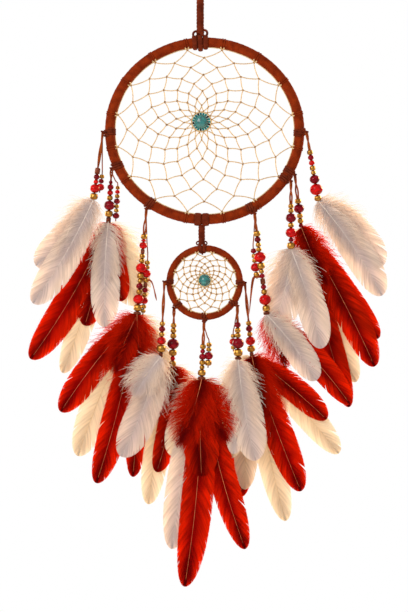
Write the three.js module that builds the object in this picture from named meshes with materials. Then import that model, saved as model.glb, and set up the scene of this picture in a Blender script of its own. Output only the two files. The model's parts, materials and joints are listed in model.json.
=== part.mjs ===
// A dream catcher. Two suede-wrapped hoops hang one under the other on a twisted suede hanger. Each holds
// a woven web with a turquoise stone, and twelve beaded thongs with goose feathers hang from them.
// Millimetres, +Z up, the front faces -Y. The origin is the top of the opening of the hanging loop.
import * as THREE from "three";

// Fits
const clearance = 0.3; // between pieces that touch
const coreClearance = 0.6; // between a hoop's core and the suede round it

// The large hoop: an oval ring of cane inside a suede lace
const largeHoopWidth = 199.4;
const largeHoopHeight = 187;
const largeHoopTube = 9.7;
const largeHoopLace = 1.3;

// The small hoop
const smallHoopWidth = 76.8;
const smallHoopHeight = 75.1;
const smallHoopTube = 6.3;
const smallHoopLace = 1.2;

// The hanger: a loop, a knot and a cord of two twisted thongs, hitched round the top of the large hoop
const loopOpening = 38;
const loopWidth = 20;
const loopThong = 3.8;
const knotDiameter = 13;
const knotHeight = 12;
const hangerCordDiameter = 7.5;
const hangerCordLength = 35;
const hangerOffset = 4.5; // how far left of the hoops' middle the hanger is hitched
const hitchWidth = 17.5;
const hitchThong = 2.6;

// The link between the hoops
const linkCordDiameter = 7;
const linkCordLength = 16;
const linkOffset = 3; // how far left of the hoops' middle the link is tied
const linkHitchWidth = 16;

// The webs: waxed thread, looped round the hoop and then round itself, one round inside the other
const threadDiameter = 1.2;
const largeLoops = 16; // even, so that no loop is tied at the top or the bottom, under a hitch
const largeRounds = 8;
const smallLoops = 13;
const smallRounds = 6;
const roundSpacing = 1.15; // above 1, the rounds come closer together towards the stone
const hitchGap = 0.6; // between the web's outer loops and the hoop

// The stones, and the ring of small beads round each
const largeStoneDiameter = 13;
const largeRingBead = 2.8;
const largeStoneAt = [-3.3, 9.1]; // from the middle of the hoop, across and up
const smallStoneDiameter = 9;
const smallRingBead = 1.6;
const smallStoneAt = [0, 2.3];

// The strands: a thong with beads on it, and feathers tied under the last bead
const thongDiameter = 2.4;
const strandDepth = 7; // how far in front of or behind the hoops a strand hangs
const featherThickness = 1.4;
const featherGap = 1.2; // between a feather of a strand and the next behind it
const featherCurve = 0.00018; // how fast a feather curves out of its plane, per mm
const quillLength = 7;
const quillWidth = 2;
const smallBead = 6.8; // below this a bead comes to one edge, and above it has a band

// Each kind of bead: its height as a share of its diameter, and how wide its ends are
const beadKinds = {
  round: { height: 0.9, end: 0.55 },
  spacer: { height: 0.85, end: 0.6 },
  tube: { height: 1.2, end: 0.85 },
  disc: { height: 0.5, end: 0.8 },
};

// Number of flat sides on round pieces
const largeHoopSteps = 44;
const smallHoopSteps = 28;
const laceSides = 8;
const coreSides = 6;
const tubeSides = 10;
const cordSides = 8;
const stoneSides = 12;
const ringSteps = 14;
const ringSides = 5;

const colours = {
  cane: 0xb08a58,
  lace: 0x7c2f18,
  thong: 0x5d2416,
  thread: 0xc8ac78,
  turquoise: 0x1f8a86,
  bead: 0x7a0d12,
  white: 0xf2ede6,
  red: 0xb01208,
  cream: 0xe2cfa4,
};

// A strand hangs from a hoop at an angle, counted from 3 o'clock and anticlockwise as seen from the front.
// lean is how far its foot lies off the vertical, to the right if positive, and drop is the bare thong
// above its beads. A feather has its length, its width and its own lean.
const strands = [
  {
    name: "hoop_left",
    hoop: "large",
    angle: 181,
    front: true,
    lean: -8,
    drop: 36,
    beads: [
      ["tube", 5.4], ["round", 6], ["round", 5], ["round", 10], ["spacer", 8],
    ],
    feathers: [
      { colour: "white", length: 120, width: 34, lean: -30 },
    ],
  },
  {
    name: "hoop_lower_left",
    hoop: "large",
    angle: 203,
    front: false,
    lean: -3.5,
    drop: 12,
    beads: [
      ["round", 4], ["round", 6.5], ["round", 6], ["spacer", 6], ["round", 11], ["spacer", 8], ["tube", 5],
    ],
    feathers: [
      { colour: "white", length: 105, width: 30, lean: -2 },
      { colour: "red", length: 158, width: 34, lean: -29.7 },
    ],
  },
  {
    name: "hoop_bottom_left",
    hoop: "large",
    angle: 234.7,
    front: false,
    lean: -5,
    drop: 25,
    beads: [
      ["spacer", 6.5], ["disc", 5], ["round", 8], ["tube", 4], ["spacer", 5.5], ["spacer", 5.5],
      ["round", 11], ["spacer", 7], ["spacer", 5], ["round", 7], ["spacer", 6], ["round", 11],
      ["spacer", 8.5], ["disc", 8],
    ],
    feathers: [
      { colour: "red", length: 174, width: 30, lean: -13.6 },
      { colour: "cream", length: 154, width: 34, lean: -23 },
      { colour: "red", length: 124, width: 30, lean: -38.4 },
    ],
  },
  {
    name: "hoop_bottom_right",
    hoop: "large",
    angle: 299.4,
    front: true,
    lean: 7,
    drop: 17,
    beads: [
      ["spacer", 7], ["round", 6.5], ["spacer", 5.5], ["spacer", 5.5], ["round", 12], ["spacer", 8],
      ["spacer", 5], ["round", 5.5], ["tube", 5], ["round", 5.5], ["spacer", 6], ["round", 12],
      ["spacer", 7.5], ["disc", 7],
    ],
    feathers: [
      { colour: "white", length: 80, width: 26, lean: 37 },
      { colour: "red", length: 122, width: 26, lean: 43 },
    ],
  },
  {
    name: "hoop_lower_right",
    hoop: "large",
    angle: 328,
    front: true,
    lean: 0,
    drop: 22.5,
    beads: [
      ["spacer", 5.5], ["spacer", 5.5], ["round", 10.5], ["spacer", 6], ["round", 11], ["round", 5], ["spacer", 8],
    ],
    feathers: [
      { colour: "white", length: 104, width: 30, lean: 17 },
    ],
  },
  {
    name: "hoop_lower_right_back",
    hoop: "large",
    angle: 333,
    front: false,
    lean: 7,
    drop: 24,
    beads: [
      ["spacer", 6.5], ["round", 10.5], ["spacer", 6], ["spacer", 6], ["round", 5],
    ],
    feathers: [
      { colour: "red", length: 158, width: 32, lean: 28 },
    ],
  },
  {
    name: "hoop_right",
    hoop: "large",
    angle: -1,
    front: true,
    lean: 9.7,
    drop: 18,
    beads: [
      ["spacer", 6], ["round", 6], ["round", 6], ["spacer", 6], ["spacer", 5], ["round", 10], ["round", 13],
      ["spacer", 7],
    ],
    feathers: [
      { colour: "white", length: 114, width: 34, lean: 34 },
    ],
  },
  {
    name: "ring_left",
    hoop: "small",
    angle: 179,
    front: true,
    lean: -2.8,
    drop: 39.5,
    beads: [
      ["spacer", 5.5], ["round", 6.5], ["spacer", 5.5], ["round", 9], ["spacer", 9], ["tube", 4],
    ],
    feathers: [
      { colour: "white", length: 107, width: 34, lean: -21.5 },
    ],
  },
  {
    name: "ring_lower_left",
    hoop: "small",
    angle: 220,
    front: false,
    lean: -1.5,
    drop: 15,
    beads: [
      ["spacer", 6], ["spacer", 6], ["spacer", 6.5], ["round", 12], ["spacer", 8], ["round", 5], ["spacer", 7],
    ],
    feathers: [
      { colour: "red", length: 108, width: 28, lean: -8.4 },
      { colour: "cream", length: 141, width: 26, lean: -10 },
    ],
  },
  {
    name: "ring_bottom",
    hoop: "small",
    angle: 269,
    front: true,
    lean: -2.5,
    drop: 22,
    beads: [
      ["spacer", 6], ["round", 5], ["round", 7], ["spacer", 6], ["spacer", 5], ["spacer", 8], ["disc", 8],
    ],
    feathers: [
      { colour: "red", length: 206, width: 32, lean: -4.6 },
      { colour: "red", length: 174, width: 28, lean: 14.4 },
      { colour: "white", length: 171, width: 26, lean: -10 },
    ],
  },
  {
    name: "ring_lower_right",
    hoop: "small",
    angle: 324,
    front: true,
    lean: 1,
    drop: 16,
    beads: [
      ["round", 6.5], ["spacer", 6], ["spacer", 6], ["round", 12], ["spacer", 9], ["disc", 7],
    ],
    feathers: [
      { colour: "white", length: 102, width: 32, lean: 9.8 },
    ],
  },
  {
    name: "ring_right",
    hoop: "small",
    angle: 0,
    front: false,
    lean: 5.5,
    drop: 38.5,
    beads: [
      ["spacer", 5.5], ["round", 7], ["spacer", 5.5], ["round", 10], ["spacer", 8], ["tube", 4],
    ],
    feathers: [
      { colour: "red", length: 144, width: 30, lean: 20 },
      { colour: "cream", length: 169, width: 26, lean: 11.6 },
    ],
  },
];

const degrees = (angle) => THREE.MathUtils.degToRad(angle);

const suede = (colour) => new THREE.MeshStandardMaterial({ color: colour, roughness: 0.9, metalness: 0 });
const glossy = (colour) => new THREE.MeshStandardMaterial({ color: colour, roughness: 0.25, metalness: 0 });

const dreamCatcher = new THREE.Group();

function addPiece(name, geometry, material, parent = dreamCatcher) {
  const mesh = new THREE.Mesh(geometry, material);
  mesh.name = name;
  parent.add(mesh);
  return mesh;
}

// ---- Round sections, tubes and turned pieces ----

function circlePoints(radius, sides) {
  const points = [];
  for (let i = 0; i < sides; i += 1) {
    const angle = (2 * Math.PI * i) / sides;
    points.push(new THREE.Vector2(radius * Math.cos(angle), radius * Math.sin(angle)));
  }
  return points;
}

function tubeAlong(path, diameter, sides, steps, boreDiameter = 0) {
  const section = new THREE.Shape(circlePoints(diameter / 2, sides));
  if (boreDiameter > 0) section.holes.push(new THREE.Path(circlePoints(boreDiameter / 2, sides)));
  return new THREE.ExtrudeGeometry(section, { steps, extrudePath: path, curveSegments: sides });
}

// A turned piece about Z. Each point of the outline is its radius and its height.
function turned(outline, sides) {
  const points = outline.map(([radius, height]) => new THREE.Vector2(radius, height));
  return new THREE.LatheGeometry(points, sides).rotateX(Math.PI / 2);
}

// ---- Hoops ----

// A hoop with its middle at height 0, to be moved to its own height.
function makeHoop(width, height, tube, lace, steps) {
  const across = (width - tube) / 2;
  const up = (height - tube) / 2;
  return { tube, lace, centreX: hangerOffset, centreZ: 0, steps, across, up };
}

// The point of a hoop's middle line at an angle, moved outwards by outset.
function hoopPoint(hoop, angle, outset = 0) {
  const normal = new THREE.Vector2(hoop.up * Math.cos(angle), hoop.across * Math.sin(angle)).normalize();
  const x = hoop.across * Math.cos(angle) + outset * normal.x;
  const z = hoop.up * Math.sin(angle) + outset * normal.y;
  return new THREE.Vector3(hoop.centreX + x, 0, hoop.centreZ + z);
}

class HoopCurve extends THREE.Curve {
  constructor(hoop, from, to) {
    super();
    this.hoop = hoop;
    this.from = from;
    this.to = to;
  }

  getPoint(t) {
    return hoopPoint(this.hoop, this.from + t * (this.to - this.from));
  }
}

// The cane ring: a torus drawn out to the hoop's oval.
function coreGeometry(hoop) {
  const radius = hoop.tube / 2 - hoop.lace - coreClearance;
  const geometry = new THREE.TorusGeometry(1, 0.5, coreSides, hoop.steps);
  const places = geometry.attributes.position;
  for (let i = 0; i < places.count; i += 1) {
    const angle = Math.atan2(places.getY(i), places.getX(i));
    const outset = (Math.hypot(places.getX(i), places.getY(i)) - 1) / 0.5;
    const point = hoopPoint(hoop, angle, outset * radius);
    places.setXYZ(i, point.x, (-places.getZ(i) / 0.5) * radius, point.z);
  }
  return geometry;
}

// The suede lace, as the tube that its turns make. Its two ends meet under the hanger at the top.
function laceGeometry(hoop) {
  const gap = (2 * clearance) / hoop.across;
  const top = Math.PI / 2;
  const path = new HoopCurve(hoop, top + gap, top + 2 * Math.PI - gap);
  const bore = hoop.tube - 2 * hoop.lace;
  return tubeAlong(path, hoop.tube, laceSides, hoop.steps, bore);
}

// ---- Webs ----

// The corners of a web: rounds of knots, each round half a loop on from the one outside it.
function webKnots(hoop, loops, rounds, stoneAt, eyeRadius) {
  const outset = -(hoop.tube / 2 + hitchGap + threadDiameter);
  const knots = [];
  for (let round = 0; round <= rounds; round += 1) {
    const share = (1 - round / rounds) ** roundSpacing;
    const row = [];
    for (let loop = 0; loop < loops; loop += 1) {
      const angle = Math.PI / 2 + ((loop + (round + 1) / 2) * 2 * Math.PI) / loops;
      const rim = hoopPoint(hoop, angle, outset);
      const eye = new THREE.Vector2(
        stoneAt[0] + eyeRadius * Math.cos(angle),
        stoneAt[1] + eyeRadius * Math.sin(angle),
      );
      const out = new THREE.Vector2(rim.x - hoop.centreX, rim.z - hoop.centreZ);
      row.push(out.multiplyScalar(share).addScaledVector(eye, 1 - share));
    }
    knots.push(row);
  }
  return knots;
}

// Moves each side of an anticlockwise polygon inwards by distance, or outwards if it is negative.
function inset(corners, distance) {
  const count = corners.length;
  const sideAt = (i) => {
    const from = corners[i];
    const along = corners[(i + 1) % count].clone().sub(from).normalize();
    const inward = new THREE.Vector2(-along.y, along.x);
    return { start: from.clone().addScaledVector(inward, distance), along };
  };
  return corners.map((_, i) => {
    const before = sideAt((i + count - 1) % count);
    const after = sideAt(i);
    const apart = after.start.clone().sub(before.start);
    const step = apart.cross(after.along) / before.along.cross(after.along);
    return before.start.clone().addScaledVector(before.along, step);
  });
}

// The web as a flat net: a star-shaped sheet with a hole for each mesh, and a round one where the last
// round is drawn tight round the stone.
function webGeometry(hoop, loops, rounds, stoneAt, eyeRadius) {
  const knots = webKnots(hoop, loops, rounds, stoneAt, eyeRadius);
  const half = threadDiameter / 2;
  const knot = (round, loop) => knots[round][(loop + loops) % loops];
  const edge = [];
  for (let loop = 0; loop < loops; loop += 1) edge.push(knot(0, loop), knot(1, loop));
  const sheet = new THREE.Shape(inset(edge, -half));
  const eye = circlePoints(eyeRadius - half, 2 * loops);
  sheet.holes.push(new THREE.Path(eye.map((point) => point.add(new THREE.Vector2(...stoneAt)))));
  for (let round = 0; round < rounds - 1; round += 1) {
    for (let loop = 0; loop < loops; loop += 1) {
      const mesh = [
        knot(round, loop + 1),
        knot(round + 1, loop + 1),
        knot(round + 2, loop),
        knot(round + 1, loop),
      ];
      sheet.holes.push(new THREE.Path(inset(mesh, half)));
    }
  }
  const geometry = new THREE.ExtrudeGeometry(sheet, { depth: threadDiameter, bevelEnabled: false });
  return geometry.translate(0, 0, -half).rotateX(Math.PI / 2).translate(hoop.centreX, 0, hoop.centreZ);
}

// ---- Bindings ----

// The bore of a hitch round the top or the bottom of a hoop, with room for the hoop's curve.
function hitchBore(hoop, width) {
  const curveRadius = hoop.across ** 2 / hoop.up;
  const sag = (width / 2) ** 2 / (2 * curveRadius);
  return (hoop.tube / 2 + sag + 2 * clearance) / Math.cos(Math.PI / tubeSides);
}

// The turns of a hitch round a hoop, as one ribbed sleeve about X.
function hitchGeometry(hoop, width, thong) {
  const turns = 3;
  const bore = hitchBore(hoop, width);
  const outline = [[bore, width / 2]];
  for (let turn = 0; turn < turns; turn += 1) {
    const top = width / 2 - (turn * width) / turns;
    outline.push([bore + thong * 0.6, top - 0.05 * width]);
    outline.push([bore + thong, top - (0.5 * width) / turns]);
  }
  outline.push([bore + thong * 0.6, 0.05 * width - width / 2], [bore, -width / 2], [bore, width / 2]);
  return turned(outline.reverse(), tubeSides).rotateY(Math.PI / 2);
}

// The angle of the point of a hoop that lies offset left of its middle, at its top.
function angleLeftOf(hoop, offset) {
  return Math.acos(-offset / hoop.across);
}

// Ties a hitch round a hoop at an angle, turned to lie along the hoop there.
function addHitch(name, hoop, angle, width) {
  const hitch = addPiece(name, hitchGeometry(hoop, width, hitchThong), suede(colours.thong));
  hitch.position.copy(hoopPoint(hoop, angle));
  hitch.rotation.y = Math.atan((hoop.up * Math.cos(angle)) / (hoop.across * Math.sin(angle)));
}

function straightCord(diameter, sides, fromZ, toZ, x = 0) {
  const path = new THREE.LineCurve3(new THREE.Vector3(x, 0, fromZ), new THREE.Vector3(x, 0, toZ));
  const steps = Math.max(1, Math.round(Math.abs(toZ - fromZ) / (2.8 * diameter)));
  return tubeAlong(path, diameter, sides, steps);
}

// ---- Strands ----

// The beads of a strand as one turned piece, bored for the thong, hanging down from the origin.
function beadGeometry(beads) {
  const bore = (thongDiameter / 2 + clearance) / Math.cos(Math.PI / cordSides);
  const outline = [];
  let top = 0;
  for (const [kind, diameter] of beads) {
    const { height, end } = beadKinds[kind];
    const radius = diameter / 2;
    const tall = height * diameter;
    outline.push([Math.max(end * radius, bore + 0.35), top]);
    if (diameter < smallBead) outline.push([radius, top - 0.5 * tall]);
    else outline.push([radius, top - 0.3 * tall], [radius, top - 0.7 * tall]);
    top -= tall;
  }
  outline.push([bore + 0.6, top], [bore, top], [bore, 0], outline[0]);
  return turned(outline.reverse(), cordSides);
}

function stackHeight(beads) {
  return beads.reduce((sum, [kind, diameter]) => sum + beadKinds[kind].height * diameter, 0);
}

// A feather's blade with its quill up at the origin and its tip down. It curves out of its plane with the
// distance from the origin, so feathers tied at one point lie against each other whichever way they lean.
function featherGeometry(length, width, curve) {
  const half = width / 2;
  const vane = length - quillLength;
  const side = [
    [quillWidth / 2, 0],
    [quillWidth / 2, quillLength],
    [0.7 * half, quillLength + 0.14 * vane],
    [half, quillLength + 0.42 * vane],
    [0.86 * half, quillLength + 0.7 * vane],
    [0.45 * half, quillLength + 0.91 * vane],
  ];
  const outline = [
    ...side.map(([x, down]) => new THREE.Vector2(-x, -down)),
    new THREE.Vector2(0, -length),
    ...side.reverse().map(([x, down]) => new THREE.Vector2(x, -down)),
  ];
  const geometry = new THREE.ExtrudeGeometry(new THREE.Shape(outline), {
    depth: featherThickness,
    bevelEnabled: false,
  });
  geometry.translate(0, 0, -featherThickness / 2).rotateX(Math.PI / 2);
  const places = geometry.attributes.position;
  for (let i = 0; i < places.count; i += 1) {
    places.setY(i, places.getY(i) + curve * (places.getX(i) ** 2 + places.getZ(i) ** 2));
  }
  return geometry;
}

function addStrand(strand, hoop) {
  const outset = hoop.tube / 2 + thongDiameter / 2 + 2 * clearance;
  const side = strand.front ? -1 : 1;
  const hung = new THREE.Group();
  hung.position.copy(hoopPoint(hoop, degrees(strand.angle), outset)).setY(side * strandDepth);
  dreamCatcher.add(hung);

  const leaning = new THREE.Group();
  leaning.rotation.y = -degrees(strand.lean);
  hung.add(leaning);
  const end = strand.drop + stackHeight(strand.beads);
  const thong = straightCord(thongDiameter, cordSides, 0, -end + clearance);
  addPiece(`thong_${strand.name}`, thong, suede(colours.thong), leaning);
  const beads = addPiece(`beads_${strand.name}`, beadGeometry(strand.beads), glossy(colours.bead), leaning);
  beads.position.z = -strand.drop;

  const foot = new THREE.Vector3(0, 0, -end - clearance - quillWidth / 2).applyEuler(leaning.rotation);
  strand.feathers.forEach((feather, index) => {
    const geometry = featherGeometry(feather.length, feather.width, side * featherCurve);
    const name = `feather_${strand.name}_${feather.colour}_${index + 1}`;
    const mesh = addPiece(name, geometry, suede(colours[feather.colour]), hung);
    mesh.position.copy(foot);
    mesh.position.y = (index - (strand.feathers.length - 1) / 2) * (featherThickness + featherGap);
    mesh.rotation.y = -degrees(feather.lean);
  });
}

// ---- The hanger ----

const knotTop = -loopOpening;
const knotBottom = knotTop - knotHeight;
const loopFoot = knotTop + clearance;
const loopPath = new THREE.CatmullRomCurve3([
  new THREE.Vector3(-loopThong * 0.6, 0, loopFoot),
  new THREE.Vector3(-loopThong * 0.6, 0, loopFoot + loopThong),
  new THREE.Vector3(-loopWidth * 0.36, 0, -0.72 * loopOpening),
  new THREE.Vector3(-(loopWidth + loopThong) / 2, 0, -0.36 * loopOpening),
  new THREE.Vector3(-loopWidth * 0.38, 0, -0.06 * loopOpening),
  new THREE.Vector3(0, 0, loopThong / 2),
  new THREE.Vector3(loopWidth * 0.38, 0, -0.06 * loopOpening),
  new THREE.Vector3((loopWidth + loopThong) / 2, 0, -0.36 * loopOpening),
  new THREE.Vector3(loopWidth * 0.36, 0, -0.72 * loopOpening),
  new THREE.Vector3(loopThong * 0.6, 0, loopFoot + loopThong),
  new THREE.Vector3(loopThong * 0.6, 0, loopFoot),
]);
addPiece("hanger_loop", tubeAlong(loopPath, loopThong, cordSides, 16), suede(colours.thong));

const knotRadius = knotDiameter / 2;
const knotOutline = [
  [0, knotBottom],
  [0.6 * knotRadius, knotBottom],
  [knotRadius, knotBottom + 0.32 * knotHeight],
  [knotRadius, knotTop - 0.32 * knotHeight],
  [0.6 * knotRadius, knotTop],
  [0, knotTop],
];
addPiece("hanger_knot", turned(knotOutline, stoneSides), suede(colours.thong));

const cordTop = knotBottom - clearance;
const cordBottom = cordTop - hangerCordLength;
addPiece(
  "hanger_cord",
  straightCord(hangerCordDiameter, tubeSides, cordTop, cordBottom),
  suede(colours.thong),
);

// ---- The large hoop, hung in its hitch ----

const largeHoop = makeHoop(
  largeHoopWidth,
  largeHoopHeight,
  largeHoopTube,
  largeHoopLace,
  largeHoopSteps,
);
const hangerAngle = angleLeftOf(largeHoop, hangerOffset);
const hangerHitchZ = cordBottom - 2 * clearance - hitchBore(largeHoop, hitchWidth) - hitchThong;
largeHoop.centreZ = hangerHitchZ - hoopPoint(largeHoop, hangerAngle).z;
addHitch("hanger_hitch", largeHoop, hangerAngle, hitchWidth);
addPiece("large_hoop_core", coreGeometry(largeHoop), suede(colours.cane));
addPiece("large_hoop_lace", laceGeometry(largeHoop), suede(colours.lace));

// A stone with its ring of beads in the eye of a web.
function addWeb(name, hoop, loops, rounds, stoneAt, stoneDiameter, ringBead) {
  const ringMiddle = stoneDiameter / 2 + clearance + ringBead / 2;
  const eyeRadius = ringMiddle + ringBead / 2 + clearance + threadDiameter;
  const web = webGeometry(hoop, loops, rounds, stoneAt, eyeRadius);
  addPiece(`${name}_web`, web, suede(colours.thread));
  const stone = new THREE.SphereGeometry(stoneDiameter / 2, stoneSides, stoneSides / 2).rotateX(Math.PI / 2);
  const ring = new THREE.TorusGeometry(ringMiddle, ringBead / 2, ringSides, ringSteps).rotateX(Math.PI / 2);
  const eye = [hoop.centreX + stoneAt[0], 0, hoop.centreZ + stoneAt[1]];
  addPiece(`${name}_stone`, stone, glossy(colours.turquoise)).position.set(...eye);
  addPiece(`${name}_stone_beads`, ring, glossy(colours.turquoise)).position.set(...eye);
}

addWeb("large", largeHoop, largeLoops, largeRounds, largeStoneAt, largeStoneDiameter, largeRingBead);

// ---- The small hoop, hung from the bottom of the large one ----

const linkAngle = -angleLeftOf(largeHoop, linkOffset);
addHitch("link_hitch", largeHoop, linkAngle, linkHitchWidth);
const linkAt = hoopPoint(largeHoop, linkAngle);
const linkCordTop = linkAt.z - hitchBore(largeHoop, linkHitchWidth) - hitchThong - 2 * clearance;
const linkCordBottom = linkCordTop - linkCordLength;
addPiece(
  "link_cord",
  straightCord(linkCordDiameter, tubeSides, linkCordTop, linkCordBottom, linkAt.x),
  suede(colours.thong),
);

const smallHoop = makeHoop(
  smallHoopWidth,
  smallHoopHeight,
  smallHoopTube,
  smallHoopLace,
  smallHoopSteps,
);
smallHoop.centreZ = linkCordBottom - clearance - smallHoopTube / 2 - smallHoop.up;
addPiece("small_hoop_core", coreGeometry(smallHoop), suede(colours.cane));
addPiece("small_hoop_lace", laceGeometry(smallHoop), suede(colours.lace));
addWeb("small", smallHoop, smallLoops, smallRounds, smallStoneAt, smallStoneDiameter, smallRingBead);

// ---- The strands ----

for (const strand of strands) addStrand(strand, strand.hoop === "large" ? largeHoop : smallHoop);

export default dreamCatcher;
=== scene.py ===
import json
import math

import bpy
import numpy as np
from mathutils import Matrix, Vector, noise


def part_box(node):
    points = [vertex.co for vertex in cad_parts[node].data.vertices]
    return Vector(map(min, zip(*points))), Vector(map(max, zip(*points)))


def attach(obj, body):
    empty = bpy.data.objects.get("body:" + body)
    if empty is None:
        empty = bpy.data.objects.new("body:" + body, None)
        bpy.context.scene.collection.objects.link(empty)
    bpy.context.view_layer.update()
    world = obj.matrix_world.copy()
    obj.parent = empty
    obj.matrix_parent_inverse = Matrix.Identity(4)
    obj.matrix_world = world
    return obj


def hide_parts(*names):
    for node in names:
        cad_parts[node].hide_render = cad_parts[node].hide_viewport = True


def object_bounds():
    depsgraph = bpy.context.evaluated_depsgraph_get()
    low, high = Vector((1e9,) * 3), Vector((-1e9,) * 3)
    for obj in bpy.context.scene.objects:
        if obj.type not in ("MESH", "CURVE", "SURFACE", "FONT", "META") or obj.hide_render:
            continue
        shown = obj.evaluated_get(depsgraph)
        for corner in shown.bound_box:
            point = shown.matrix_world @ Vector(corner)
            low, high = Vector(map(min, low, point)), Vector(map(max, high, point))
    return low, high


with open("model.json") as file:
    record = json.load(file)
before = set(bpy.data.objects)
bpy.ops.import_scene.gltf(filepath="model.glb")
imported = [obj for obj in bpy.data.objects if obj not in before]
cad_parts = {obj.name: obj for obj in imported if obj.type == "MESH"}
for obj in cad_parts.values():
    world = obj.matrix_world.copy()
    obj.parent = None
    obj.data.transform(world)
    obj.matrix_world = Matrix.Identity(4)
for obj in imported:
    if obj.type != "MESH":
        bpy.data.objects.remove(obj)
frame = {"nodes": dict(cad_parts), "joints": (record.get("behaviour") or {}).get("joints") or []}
packed_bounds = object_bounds()

# ---- The view, the floor and the light ----
# The piece hangs free over a pale floor in a bright room, and is seen level and straight on. A warm light
# stands behind it on the right, a weaker one behind on the left, and a wide soft one in front on the left.

MM = 0.001
VIEW_HEIGHT = 612 * MM
VIEW_BELOW_HOOP = 175.1 * MM  # from the middle of the large hoop down to the middle of the view
VIEW_LEFT_OF_HOOP = 0.7 * MM
CAMERA_DISTANCE = 2.4
FLOOR_DROP = 0.42
FLOOR_REACH = 1.6
SENSOR = 36

hoop_low, hoop_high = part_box("large_hoop_lace")
hoop_middle = (hoop_low + hoop_high) / 2
camera_data = bpy.data.cameras.new("camera")
camera_data.sensor_width = SENSOR
camera_data.lens = SENSOR * CAMERA_DISTANCE / VIEW_HEIGHT
camera = bpy.data.objects.new("camera", camera_data)
camera.location = hoop_middle + Vector((-VIEW_LEFT_OF_HOOP, -CAMERA_DISTANCE, -VIEW_BELOW_HOOP))
camera.rotation_euler = (math.radians(90), 0, 0)
bpy.context.collection.objects.link(camera)
bpy.context.scene.camera = camera
bpy.context.scene.view_settings.view_transform = "Standard"


def new_material(name, colour, roughness):
    material = bpy.data.materials.new(name)
    material.use_nodes = True
    shader = material.node_tree.nodes["Principled BSDF"]
    shader.inputs["Base Color"].default_value = (*colour, 1)
    shader.inputs["Roughness"].default_value = roughness
    return material, shader


def add_node(material, kind, **settings):
    node = material.node_tree.nodes.new(kind)
    for key, value in settings.items():
        if key in node.inputs:
            node.inputs[key].default_value = value
        else:
            setattr(node, key, value)
    return node


def join_sockets(material, start, end):
    material.node_tree.links.new(start, end)


def lay_on_piece(material, node):
    """Lays a texture or mapping node out in the piece's own coordinates, in metres."""
    place = add_node(material, "ShaderNodeTexCoord")
    join_sockets(material, place.outputs["Object"], node.inputs["Vector"])


def noise_over(material, scale, detail=4.0, stretch=(1, 1, 1)):
    """A noise texture over a piece."""
    mapping = add_node(material, "ShaderNodeMapping", Scale=stretch)
    lay_on_piece(material, mapping)
    texture = add_node(material, "ShaderNodeTexNoise", Scale=scale, Detail=detail)
    join_sockets(material, mapping.outputs["Vector"], texture.inputs["Vector"])
    return texture.outputs["Fac"]


def colours_by(material, value, *stops):
    """A colour ramp of (position, colour) stops, driven by a value."""
    ramp = add_node(material, "ShaderNodeValToRGB").color_ramp
    while len(ramp.elements) < len(stops):
        ramp.elements.new(0.5)
    for element, (position, colour) in zip(ramp.elements, stops):
        element.position = position
        element.color = (*colour, 1)
    node = material.node_tree.nodes[-1]
    join_sockets(material, value, node.inputs["Fac"])
    return node.outputs["Color"]


def paint_by(material, shader, value, *stops):
    join_sockets(material, colours_by(material, value, *stops), shader.inputs["Base Color"])


def bump_by(material, shader, value, strength, height):
    node = add_node(material, "ShaderNodeBump", Strength=strength, Distance=height)
    join_sockets(material, value, node.inputs["Height"])
    join_sockets(material, node.outputs["Normal"], shader.inputs["Normal"])


floor_paint, floor_shader = new_material("floor_paint", (0.86, 0.85, 0.83), 0.8)
floor_cloud = noise_over(floor_paint, 3)
paint_by(floor_paint, floor_shader, floor_cloud, (0.3, (0.84, 0.83, 0.81)), (0.7, (0.88, 0.87, 0.85)))
floor_mesh = bpy.data.meshes.new("floor")
floor_z = packed_bounds[0][2] - FLOOR_DROP
floor_corners = [(x * FLOOR_REACH, y * FLOOR_REACH, floor_z) for x, y in ((-1, -1), (1, -1), (1, 1), (-1, 1))]
floor_mesh.from_pydata(floor_corners, [], [(0, 1, 2, 3)])
floor_mesh.materials.append(floor_paint)
floor = bpy.data.objects.new("floor", floor_mesh)
bpy.context.collection.objects.link(floor)

world = bpy.data.worlds.new("room")
world.use_nodes = True
bpy.context.scene.world = world
room_nodes = world.node_tree.nodes
room_light = room_nodes["Background"]
room_light.inputs["Color"].default_value = (1.0, 0.97, 0.94, 1)
room_light.inputs["Strength"].default_value = 0.62
room_seen = room_nodes.new("ShaderNodeBackground")
room_seen.inputs["Color"].default_value = (1, 1, 1, 1)
room_ray = room_nodes.new("ShaderNodeLightPath")
room_mix = room_nodes.new("ShaderNodeMixShader")
world.node_tree.links.new(room_ray.outputs["Is Camera Ray"], room_mix.inputs["Fac"])
world.node_tree.links.new(room_light.outputs["Background"], room_mix.inputs[1])
world.node_tree.links.new(room_seen.outputs["Background"], room_mix.inputs[2])
world.node_tree.links.new(room_mix.outputs["Shader"], room_nodes["World Output"].inputs["Surface"])


def add_lamp(name, place, aim, size, power, colour):
    data = bpy.data.lights.new(name, "AREA")
    data.size = size
    data.energy = power
    data.color = colour
    lamp = bpy.data.objects.new(name, data)
    lamp.location = place
    lamp.rotation_euler = (Vector(aim) - Vector(place)).to_track_quat("-Z", "Y").to_euler()
    lamp.visible_camera = False
    bpy.context.collection.objects.link(lamp)


AIM = (0, 0, hoop_middle.z - VIEW_BELOW_HOOP)
add_lamp("front_soft_light", (-1.3, -1.7, 0.6), AIM, 1.4, 32, (1.0, 0.96, 0.93))
add_lamp("warm_back_light", (1.5, 1.3, 0.4), AIM, 0.9, 70, (1.0, 0.66, 0.34))
add_lamp("left_back_light", (-1.5, 1.3, 0.1), AIM, 1.0, 24, (1.0, 0.82, 0.6))

# ---- The hanger: one suede thong, folded double ----
# A long suede lace is folded in half. The fold is the hanging loop, an overhand knot closes it, and the
# two halves twist round each other down to the hitch on the large hoop.

LOOP_OPENING = 38 * MM
LOOP_WIDTH = 20 * MM
LOOP_THONG = 3.8 * MM
TWIST_RADIUS = 1.9 * MM
TWIST_TURNS = 1.5


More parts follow.
